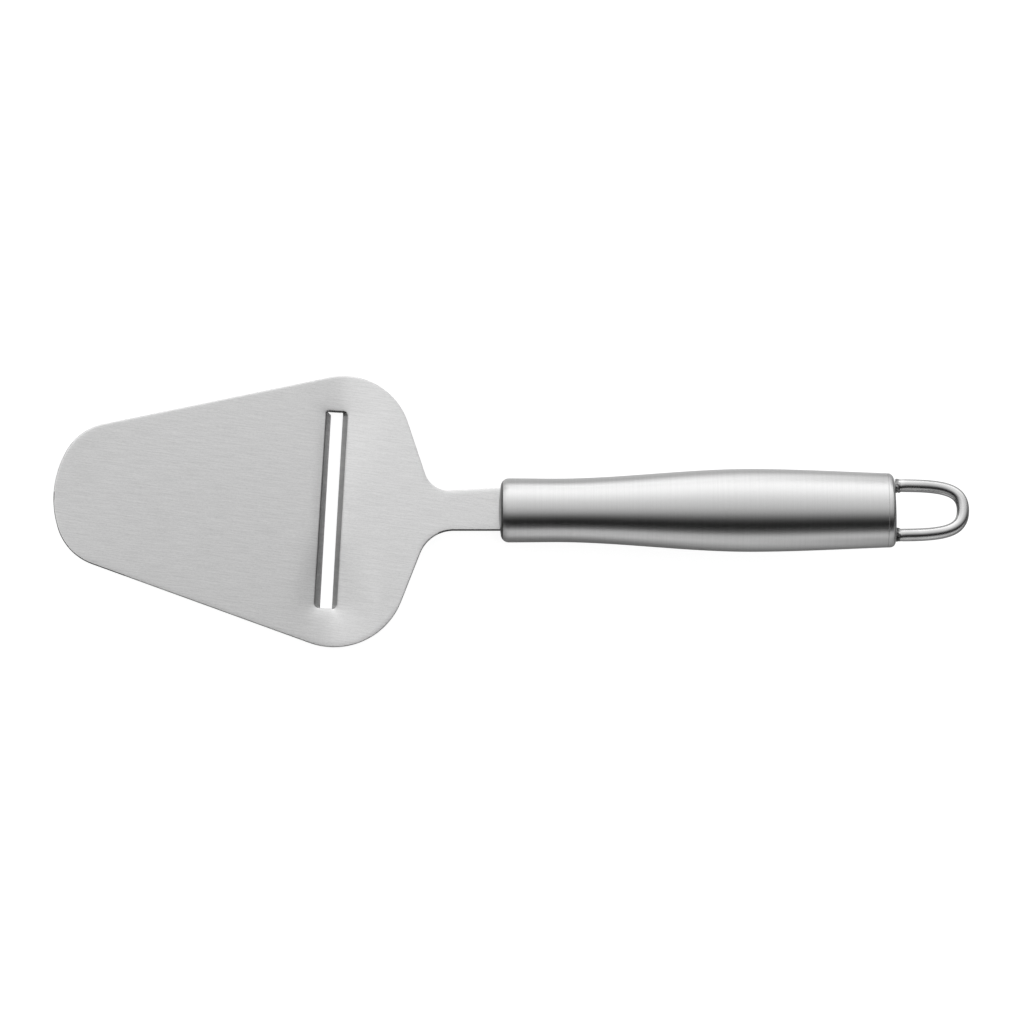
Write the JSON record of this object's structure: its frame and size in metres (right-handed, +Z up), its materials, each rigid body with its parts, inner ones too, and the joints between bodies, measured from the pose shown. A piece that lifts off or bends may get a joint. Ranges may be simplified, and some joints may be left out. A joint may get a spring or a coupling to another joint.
{
  "type": "cheese slicer",
  "caption": "Steel cheese slicer: spade-shaped plate with a slanted cutting slot, on a hollow contoured handle that ends in a welded wire hanging loop.",
  "frame": {"origin": "centre of the tool's footprint, on the table it rests on", "axes": "+X from the blade's tip to the hanging loop, +Y to the right of a user who holds the handle with the tip ahead, +Z up from the table"},
  "size_m": [0.2436, 0.0726, 0.0302],
  "materials": {
    "blade_steel": "fine brushing along the blade",
    "handle_steel": "fine brushing round the handle",
    "loop_wire": "polished",
    "weld_metal": "rough, slightly darkened weld"
  },
  "bodies": {
    "root": {"blade": "blade_steel", "front_cap": "handle_steel", "handle_shell": "handle_steel", "rear_cap": "handle_steel", "hanging_loop": "loop_wire", "front_seam_weld": "handle_steel", "rear_seam_weld": "weld_metal", "tang_weld_top": "weld_metal", "tang_weld_bottom": "weld_metal", "loop_weld_right": "weld_metal", "loop_weld_left": "weld_metal"}
  },
  "joints": []
}
